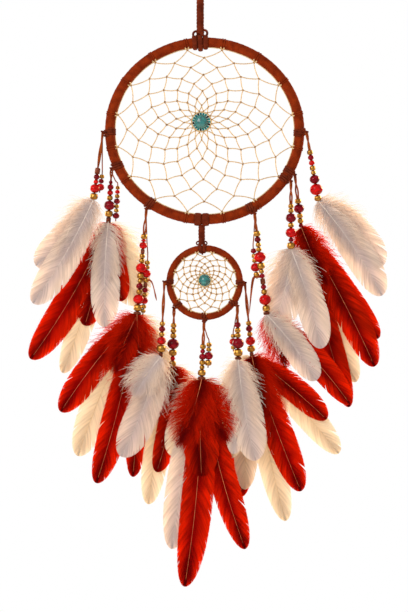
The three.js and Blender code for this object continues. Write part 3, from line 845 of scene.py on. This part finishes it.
# Each strand's beads from the top down: colour, diameter in mm, and shape where it isn't the usual one.
bead_rows = {
    "hoop_left": [(BROWN, 5.4, "tube"), (DARK, 6), (RED, 5), (RED, 10), (GOLD, 8)],
    "hoop_lower_left": [
        (DARK, 4), (DARK, 6.5), (RED, 6), (GOLD, 6), (DARK, 11), (GOLD, 8), (BROWN, 5, "tube"),
    ],
    "hoop_bottom_left": [
        (GOLD, 6.5), (RED, 5, "disc"), (RED, 8), (BROWN, 4, "tube"), (GOLD, 5.5), (GOLD, 5.5), (RED, 11),
        (GOLD, 7), (GOLD, 5), (DARK, 7), (GOLD, 6), (RED, 11), (GOLD, 8.5), (BROWN, 8),
    ],
    "hoop_bottom_right": [
        (GOLD, 7), (DARK, 6.5), (GOLD, 5.5), (GOLD, 5.5), (RED, 12), (GOLD, 8), (GOLD, 5), (DARK, 5.5),
        (BROWN, 5, "tube"), (DARK, 5.5), (GOLD, 6), (RED, 12), (GOLD, 7.5), (BROWN, 7),
    ],
    "hoop_lower_right": [
        (GOLD, 5.5), (GOLD, 5.5), (DARK, 10.5), (GOLD, 6), (RED, 11), (DARK, 5), (GOLD, 8),
    ],
    "hoop_lower_right_back": [(GOLD, 6.5), (DARK, 10.5), (GOLD, 6), (GOLD, 6), (DARK, 5)],
    "hoop_right": [(GOLD, 6), (DARK, 6), (RED, 6), (GOLD, 6), (GOLD, 5), (DARK, 10), (RED, 13), (GOLD, 7)],
    "ring_left": [(GOLD, 5.5), (DARK, 6.5), (GOLD, 5.5), (RED, 9), (GOLD, 9), (BROWN, 4, "tube")],
    "ring_lower_left": [(GOLD, 6), (GOLD, 6), (GOLD, 6.5), (DARK, 12), (GOLD, 8), (RED, 5), (GOLD, 7)],
    "ring_bottom": [(GOLD, 6), (DARK, 5), (DARK, 7), (GOLD, 6), (GOLD, 5), (GOLD, 8), (BROWN, 8)],
    "ring_lower_right": [(DARK, 6.5), (GOLD, 6), (GOLD, 6), (DARK, 12), (GOLD, 9), (BROWN, 7)],
    "ring_right": [(GOLD, 5.5), (DARK, 7), (GOLD, 5.5), (RED, 10), (GOLD, 8), (BROWN, 4, "tube")],
}
# The second rows: how far aside and behind they lie and how far up their foot is, in mm, and their beads.
second_rows = {
    "hoop_left": (5.0, 3.5, 9, [(GOLD, 5), (DARK, 5.5), (RED, 8)]),
    "hoop_lower_left": (7.2, 2.5, 4, [
        (GOLD, 4.5), (RED, 5), (GOLD, 5), (DARK, 6.5), (GOLD, 5), (GOLD, 5), (DARK, 7),
    ]),
    "hoop_bottom_left": (5.6, 3.5, 2, [
        (GOLD, 5.5), (GOLD, 5.5), (RED, 9), (GOLD, 6), (BROWN, 4, "tube"), (DARK, 6), (GOLD, 5), (RED, 8),
        (GOLD, 5.5), (GOLD, 5),
    ]),
    "hoop_bottom_right": (-5.4, 3.5, 38, [(DARK, 6), (GOLD, 5.5), (GOLD, 5.5), (RED, 10), (GOLD, 6)]),
    "ring_bottom": (6.0, 3.0, 14, [(GOLD, 5.5), (GOLD, 5.5), (DARK, 9), (GOLD, 7)]),
    "ring_lower_right": (-4.6, 3.5, 10, [(GOLD, 5), (RED, 8), (GOLD, 5)]),
}
# Loose ends of lace that hang out between the beads: aside, up from the foot and length in mm, and lean.
loose_ends = {
    "hoop_bottom_left": (11.0, 36, 22, 14),
    "hoop_bottom_right": (-9.0, 38, 37, -6),
}
LAST_BEAD_GAP = 0.3 * MM
WIDEST_HOLE = 1.5 * MM
HOLE_SHARE = 0.3  # of the bead's diameter, up to the widest
SMALLEST_FLUTED = 7  # gilt beads at least this wide, in mm, are fluted


def bead_row(foot, direction, row):
    """Beads stacked up a line from its foot: a list of shapes for each colour, and the row's length."""
    kinds = [shape[0] if shape else USUAL_SHAPES[colour] for colour, size, *shape in row]
    heights = [BEAD_HEIGHTS[kind] * entry[1] * MM for kind, entry in zip(kinds, row)]
    shapes = {}
    down = sum(heights)
    for kind, height, (colour, size, *shape) in zip(kinds, heights, row):
        middle = foot - direction * (down - height / 2)
        hole = min(WIDEST_HOLE, HOLE_SHARE * size * MM)
        fluted = kind == "spacer" and size >= SMALLEST_FLUTED
        made = bead(kind, middle, direction, size * MM, hole, height * 0.99, fluted)
        shapes.setdefault(colour, []).append(made)
        down -= height
    return shapes, sum(heights)


bead_pieces = {}
for strand, row in bead_rows.items():
    top, bottom = thong_line(strand)
    direction = (bottom - top).normalized()
    shapes, _ = bead_row(bottom + direction * LAST_BEAD_GAP, direction, row)
    if strand in second_rows:
        aside, behind, up, more = second_rows[strand]
        foot = bottom + Vector((aside * MM, behind * MM, 0)) - direction * up * MM
        second_shapes, length = bead_row(foot, direction, more)
        for colour, found in second_shapes.items():
            shapes.setdefault(colour, []).extend(found)
        high = foot - direction * length
        tied = top.lerp(bottom, 3.2 * MM / (bottom - top).length)
        line = through([foot + direction * 2 * MM, foot, high, high.lerp(tied, 0.35), tied], 30)
        shapes.setdefault("thong", []).append(sweep(line, HALF_THONG * 0.8, sides=7))
    if strand in loose_ends:
        aside, up, length, lean = loose_ends[strand]
        heading = Vector((math.sin(math.radians(lean)), 0.1, -math.cos(math.radians(lean))))
        start = bottom - direction * up * MM
        knee = start + Vector((aside * MM, 3 * MM, 0))
        bends = [start, start.lerp(knee, 0.6), knee + heading * 4 * MM, knee + heading * length * MM]
        taper = [1] * 20 + [0.9, 0.75, 0.5, 0.2]
        end = sweep(through(bends, 24), THONG_WIDTH * 1.1, 1.1 * MM, sides=8, twist=2.2, taper=taper)
        shapes.setdefault("thong", []).append(end)
    bead_pieces[strand] = []
    for colour, found in sorted(shapes.items()):
        material = strand_suede if colour == "thong" else bead_materials[colour]
        piece = add_piece(
            f"{'second' if colour == 'thong' else 'beads'}_{colour}_{strand}",
            [(*shape, 0) for shape in found],
            [material],
            f"strand_{strand}",
        )
        if colour == GOLD:
            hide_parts(f"beads_{strand}")
        if colour != "thong":
            bead_pieces[strand].append(piece)

# ---- The feathers ----
# Bunches of goose feathers, natural and dyed red, are tied into the end of each thong under the last bead.
# Each has a tapering quill, loose down over its upper half, and a smooth vane of barbs that part here and
# there. They are modelled barb by barb.

WHITE, CREAM = "white", "cream"
BARB_PITCH = 0.62  # in mm along the quill
VANE_TILT = 0.28  # how steeply a barb's strip lies, in the vane and in the down
DOWN_TILT = 0.4
LIGHT_THROUGH = 0.34  # the share of a feather's light that comes through it
QUILL_SHARE = 0.98
QUILL_WIDTH = 0.85 * MM
BODY_CURVE = 0.00018  # how a bunch curves away from its hoop, in mm of depth per mm of reach squared
CUP = 1.6  # how far a feather's edges bend back, in mm
TUFT = 1.5  # feathers with this much down are all down
# Each feather: colour, lean of its length from straight down, length, width, how far it turns over its
# length, how far behind the thong it lies, how much down it has, and the number of its solid (0: none).
bunches = {
    "hoop_left": [
        (WHITE, -30, 120, 34, -12, 0, 1.0, 1),
        (WHITE, -41, 88, 36, -20, 2.6, 1.2, 0),
    ],
    "hoop_lower_left": [
        (WHITE, -2, 105, 32, 8, -2.4, 1.1, 1),
        (RED, -29.7, 158, 34, -14, 1.3, 0.8, 2),
        (RED, -13, 106, 32, -10, 2.6, 1.2, 0),
        (RED, 10, 80, 27, 14, 0.2, 1.2, 0),
        (CREAM, 21, 88, 46, 14, 3.6, 1.4, 0),
        (CREAM, -17, 158, 28, -8, 4.8, 0.7, 0),
    ],
    "hoop_bottom_left": [
        (RED, -13.6, 174, 32, -10, -2.6, 1.2, 1),
        (RED, -38.4, 124, 32, 12, -0.6, 1.2, 3),
        (RED, 5, 56, 30, 8, -3.6, 1.8, 0),
        (RED, -22, 60, 36, 10, -3.4, 1.8, 0),
        (RED, -1.5, 163, 26, -8, 1.4, 0.9, 0),
        (CREAM, -23, 154, 36, 8, 2.8, 0.6, 2),
        (CREAM, 21, 92, 42, 10, 3.6, 1.2, 0),
    ],
    "hoop_bottom_right": [
        (WHITE, 37, 82, 30, -14, -1.3, 1.2, 1),
        (RED, 43, 122, 28, -16, 1.3, 0.9, 2),
        (RED, 20, 56, 28, -8, 2.2, 1.7, 0),
    ],
    "hoop_lower_right": [
        (WHITE, 17, 104, 32, -10, 0, 1.1, 1),
        (WHITE, -13, 80, 42, -20, 2.2, 1.4, 0),
    ],
    "hoop_lower_right_back": [
        (RED, 28, 158, 34, -8, 0, 0.9, 1),
        (RED, 15, 187, 28, 8, 1.6, 0.8, 0),
        (RED, 35, 136, 28, 8, 2.8, 0.9, 0),
        (RED, 24, 62, 30, 6, -1.4, 1.8, 0),
        (CREAM, 19.5, 165, 32, 10, 4.4, 0.7, 0),
    ],
    "hoop_right": [
        (WHITE, 34, 114, 34, -14, 0, 1.1, 1),
        (WHITE, 44, 92, 36, -22, 2.6, 1.3, 0),
    ],
    "ring_left": [
        (WHITE, -21.5, 107, 36, -12, 0, 1.2, 1),
        (WHITE, -34, 44, 32, 16, -1.8, 1.7, 0),
    ],
    "ring_lower_left": [
        (RED, -8.4, 108, 26, -22, -1.3, 1.0, 1),
        (RED, 9, 54, 34, 10, -2.6, 2.0, 0),
        (CREAM, -10, 141, 28, 6, 1.3, 0.7, 2),
        (CREAM, 20, 78, 38, 6, 3.0, 1.3, 0),
    ],
    "ring_bottom": [
        (RED, -4.6, 206, 34, -10, -2.6, 0.9, 1),
        (RED, 14.4, 174, 30, 12, 0, 1.0, 2),
        (RED, -19, 68, 38, -14, -4.0, 2.0, 0),
        (RED, 22, 64, 38, 12, -3.4, 2.0, 0),
        (RED, 0, 96, 40, 6, -3.8, 1.4, 0),
        (WHITE, -10, 171, 34, 6, 2.6, 0.7, 3),
        (CREAM, -20, 82, 36, 10, 4.2, 1.2, 0),
        (CREAM, 22, 84, 36, -8, 4.8, 1.2, 0),
    ],
    "ring_lower_right": [
        (WHITE, 9.8, 102, 36, 10, -2.2, 1.2, 1),
        (WHITE, -3, 94, 24, -8, -0.8, 1.0, 0),
    ],
    "ring_right": [
        (RED, 20, 144, 32, 6, -1.3, 1.0, 1),
        (RED, 50, 98, 28, -8, 0.2, 1.0, 0),
        (RED, 8, 60, 40, -10, -2.6, 2.0, 0),
        (CREAM, 11.6, 169, 30, 8, 1.3, 0.7, 2),
        (CREAM, -3, 134, 28, 6, 2.6, 0.6, 0),
        (CREAM, -30, 66, 34, -10, 5.2, 1.3, 0),
        (CREAM, 42, 131, 30, -6, 2.8, 0.7, 0),
        (RED, -4.5, 142, 26, 4, 4.0, 0.6, 0),
    ],
}


def feather_half_width(share, width):
    """Half the width of a feather's outline at a share of its length."""
    rise = 1 - (1 - np.clip(share / 0.5, 0, 1)) ** 2.0
    fall = np.sqrt(np.clip(1 - (np.clip(share - 0.5, 0, 1) / 0.5) ** 3.2, 0, 1))
    return width / 2 * rise * fall


def curved_barbs(starts, angles, curl, deflection, lengths, steps):
    """Barbs as flat (along, across) lines from the quill, turning towards the feather's tip."""
    share = np.linspace(0, 1, steps + 1)
    heading = angles[:, None] * (1 - curl * share) + deflection[:, None] * share**2
    middle = (heading[:, 1:] + heading[:, :-1]) / 2
    stride = lengths[:, None] / steps
    along = starts[:, None] + np.concatenate([0 * starts[:, None], np.cumsum(np.cos(middle) * stride, 1)], 1)
    across = np.concatenate([0 * starts[:, None], np.cumsum(np.sin(middle) * stride, 1)], 1)
    return along, across, heading


def ribbons(along, across, heading, lift, strip, tilt, side, width, streaks):
    """Barbs as narrow strips on one side of a feather of a width, as (points, faces, uvs). The uvs say how
    far out each point lies, and which streak its barb has."""
    sideways = np.stack([-np.sin(heading), np.cos(heading), np.full_like(heading, tilt)], -1)
    middle = np.stack([along, across, lift], -1)
    edges = np.stack([middle - sideways * strip[..., None] / 2, middle + sideways * strip[..., None] / 2], 2)
    rows, steps = along.shape
    i, j = np.meshgrid(np.arange(rows), np.arange(steps - 1), indexing="ij")
    first = 2 * (i * steps + j)
    faces = np.stack([first, first + 1, first + 3, first + 2], -1).reshape(-1, 4)
    points = edges.reshape(-1, 3)
    points[:, 1] *= side
    uvs = np.stack([np.abs(points[:, 1]) / (width / 2), np.repeat(streaks, 2 * steps)], -1)
    return points, faces.tolist(), uvs


def down_parts(chance, length, width, down, side, tuft):
    """The loose, waving barbs near a feather's foot. A tuft has them all the way down, to a point."""
    top, last_angle, last_reach = (0.95, 12, 0.3) if tuft else (0.52, 40, 0.8)
    rows = int(190 * down * (top / 0.52) ** 0.5)
    steps = np.linspace(0, 1, 9)
    share = top * (1 - chance.power(1.25, rows))
    starts = share * length
    place = share / top
    angles = np.radians(chance.normal(np.interp(place, [0, 0.5, 1], [86, 62, last_angle]), 9))
    reach = np.interp(place, [0, 0.15, 0.5, 1], [0.6, 1.05, 1.2, last_reach]) * width / 2
    lengths = reach * chance.normal(1.05, 0.2, rows) * (0.85 + 0.15 * down)
    deflection = np.radians(chance.normal(-8, 19, rows))
    along, across, heading = curved_barbs(starts, angles, 0.5, deflection, lengths, 8)
    wave = steps * np.sin(steps * chance.uniform(5, 11, (rows, 1)) + chance.uniform(0, 6, (rows, 1)))
    wave *= chance.uniform(0.3, 1.3, (rows, 1))
    along, across = along - wave * np.sin(heading), across + wave * np.cos(heading)
    lift = 0.4 + np.clip(chance.normal(0.4, 1.6, (rows, 1)), -2.5, 2.5) * steps**1.3
    strip = chance.uniform(0.28, 0.5, (rows, 1)) * (1 - 0.6 * steps)
    streaks = chance.uniform(0, 4, rows)
    return ribbons(along, across, heading, lift, strip, DOWN_TILT, side, width, streaks)


def feather_parts(chance, length, width, down):
    """A feather lying flat: its vane and down as (points, faces, uvs), in mm. A tuft is all down."""
    parts = []
    quill = QUILL_SHARE * length
    tuft = down >= TUFT
    steps = np.linspace(0, 1, 9)
    for side in (-1, 1):
        parts.append(down_parts(chance, length, width, down, side, tuft))
        if tuft:
            continue
        # Each barb of the vane is as long as the outline lets it be.
        starts = np.arange(0.06 * length, quill, BARB_PITCH)
        share = starts / quill
        angles = np.radians(np.interp(share, [0, 0.3, 0.75, 0.94, 1], [62, 50, 38, 22, 3]))
        curl, rows = 0.42, len(starts)
        deflection = np.radians(chance.normal(0, 1.2 + 9 * np.clip(0.45 - share, 0, 1) * down, rows))
        splits = int(chance.integers(2, 5))
        for split in chance.choice(np.arange(rows // 6, rows - 25), splits, replace=False):
            gap = np.arange(rows) - split
            opening = np.radians(chance.uniform(2, 8)) * np.exp(-np.abs(gap + 0.5) / 9)
            deflection += np.where(gap >= 0, -opening, opening)
        short, long = np.zeros(rows), np.full(rows, 1.5 * width)
        for _ in range(24):
            lengths = (short + long) / 2
            along, across, _ = curved_barbs(starts, angles, curl, deflection, lengths, 6)
            outside = across[:, -1] > feather_half_width(along[:, -1] / length, width * (0.94 + 0.06 * side))
            long = np.where(outside, lengths, long)
            short = np.where(outside, short, lengths)
        ragged = 0.012 + 0.16 * np.clip(0.5 - share, 0, 1) * down
        lengths = short * (1 - np.abs(chance.normal(0, ragged, rows)))
        along, across, heading = curved_barbs(starts, angles, curl, deflection, lengths, 8)
        strip = BARB_PITCH * 1.5 * (1 - 0.55 * steps**2)[None, :] * np.ones((rows, 1))
        loose = np.clip(0.5 - share, 0, 1)[:, None] * steps[None, :] ** 1.5
        lift = loose * chance.normal(0, 4.0 * down, (rows, 1))
        streaks = starts / length + side
        parts.append(ribbons(along, across, heading, lift, strip, VANE_TILT, side, width, streaks))
    return parts


def place_feather(points, foot, lean, bend, length, width, side, roll):
    """Bends a flat feather's points to its curve and hangs it from its foot."""
    share = np.linspace(-0.1, 1.1, 61)
    heading = np.radians(lean + bend * (share - 0.5))
    step = np.diff(share)[0] * length
    x = np.cumsum(np.sin(heading)) * step
    z = -np.cumsum(np.cos(heading)) * step
    x, z = x - np.interp(0, share, x), z - np.interp(0, share, z)
    at = points[:, 0] / length
    turn = np.interp(at, share, heading)
    across, lift = points[:, 1], points[:, 2]
    px = np.interp(at, share, x) + across * np.cos(turn)
    pz = np.interp(at, share, z) + across * np.sin(turn)
    sag = side * BODY_CURVE * (px**2 + pz**2)
    depth = sag + CUP * (2 * across / width) ** 2 + across * math.tan(roll) - lift
    return np.array(foot) + np.stack([px, depth, pz], -1) * MM


def feather_material(name, centre, edge, glow, line, gloss):
    """Barbs that let light through: a darker colour by the quill, which is painted shade, a lighter and
    warmer one towards the edge, which is a painted backlit rim, another through them, darker lines between
    them, and a little gloss."""
    material, shader = new_material(name, centre, 0.62)
    place = add_node(material, "ShaderNodeTexCoord")
    parts = add_node(material, "ShaderNodeSeparateXYZ")
    join_sockets(material, place.outputs["UV"], parts.inputs[0])
    cloud = add_node(material, "ShaderNodeMath", operation="MULTIPLY_ADD")
    join_sockets(material, noise_over(material, 45, 3), cloud.inputs[0])
    cloud.inputs[1].default_value = 0.7
    join_sockets(material, parts.outputs["X"], cloud.inputs[2])
    # Painted light: the base colour runs from painted shade by the quill to a painted backlit rim at the edge
    # of each vane.
    painted_shade_and_rim = colours_by(material, cloud.outputs[0], (0.45, centre), (0.9583, edge))
    stretch = add_node(material, "ShaderNodeCombineXYZ")
    fine = add_node(material, "ShaderNodeMath", operation="MULTIPLY")
    join_sockets(material, parts.outputs["Y"], fine.inputs[0])
    fine.inputs[1].default_value = 55.0
    join_sockets(material, parts.outputs["X"], stretch.inputs[0])
    join_sockets(material, fine.outputs[0], stretch.inputs[1])
    barb = add_node(material, "ShaderNodeTexNoise", Scale=1.0, Detail=3.0)
    join_sockets(material, stretch.outputs[0], barb.inputs["Vector"])
    barb_shade = colours_by(material, barb.outputs["Fac"], (0.36, (line, line, line)), (0.62, (1, 1, 1)))
    mix = add_node(material, "ShaderNodeMix", data_type="RGBA", blend_type="MULTIPLY")
    mix.inputs[0].default_value = 1.0
    join_sockets(material, painted_shade_and_rim, mix.inputs[6])
    join_sockets(material, barb_shade, mix.inputs[7])
    join_sockets(material, mix.outputs[2], shader.inputs["Base Color"])
    shader.inputs["Specular IOR Level"].default_value = gloss
    through_light = add_node(material, "ShaderNodeBsdfTranslucent", Color=(*glow, 1))
    both = add_node(material, "ShaderNodeMixShader")
    both.inputs["Fac"].default_value = LIGHT_THROUGH
    join_sockets(material, shader.outputs["BSDF"], both.inputs[1])
    join_sockets(material, through_light.outputs["BSDF"], both.inputs[2])
    surface = material.node_tree.nodes["Material Output"].inputs["Surface"]
    join_sockets(material, both.outputs["Shader"], surface)
    return material


# Each look: colour by the quill (painted shade), colour at the edge (painted backlit rim), colour of the
# light through, darkness of the lines between barbs, and gloss.
feather_materials = {
    colour: feather_material(f"feather_{colour}", *look)
    for colour, look in (
        (WHITE, ((0.69, 0.6, 0.6), (0.96, 0.82, 0.71), (0.98, 0.82, 0.68), 0.66, 0.12)),
        (RED, ((0.14, 0.0, 0.0), (0.7, 0.018, 0.0), (1.0, 0.035, 0.0), 0.35, 0.03)),
        (CREAM, ((0.84, 0.69, 0.5), (0.97, 0.86, 0.68), (1.0, 0.87, 0.68), 0.72, 0.12)),
    )
}
quill_materials = {}
for colour, dark, light in (
    (WHITE, (0.62, 0.53, 0.45), (0.84, 0.75, 0.66)),
    (RED, (0.36, 0.03, 0.01), (0.8, 0.24, 0.07)),
    (CREAM, (0.62, 0.42, 0.22), (0.86, 0.66, 0.4)),
):
    material, shader = new_material(f"quill_{colour}", light, 0.35)
    paint_by(material, shader, noise_over(material, 120, 3, (4, 4, 1)), (0.3, dark), (0.65, light))
    quill_materials[colour] = material

number = 0
for strand, bunch in bunches.items():
    top, bottom = thong_line(strand)
    side = -1 if top.y < 0 else 1
    for colour, lean, length, width, bend, behind, down, solid in bunch:
        number += 1
        chance = np.random.default_rng(number)
        foot = bottom + Vector((0, behind * MM, 0))
        roll = math.radians(chance.uniform(-5, 5))
        parts = []
        for points, faces, uvs in feather_parts(chance, length, width, down):
            placed = place_feather(points, foot, lean, bend, length, width, side, roll)
            parts.append((placed, faces, 0, uvs))
        line = np.zeros((40, 3))
        line[:, 0] = np.linspace(-0.01, 0.965, 40) * length
        line[:, 2] = 0.2
        taper = 1.15 - 0.9 * np.linspace(0, 1, 40) ** 0.6
        shaft = place_feather(line, foot, lean, bend, length, width, side, roll)
        parts.append((*sweep(shaft, QUILL_WIDTH, sides=6, taper=taper), 1))
        looks = [feather_materials[colour], quill_materials[colour]]
        piece = add_piece(f"plume_{strand}_{colour}_{number}", parts, looks, f"strand_{strand}")
        if solid:
            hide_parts(f"feather_{strand}_{colour}_{solid}")
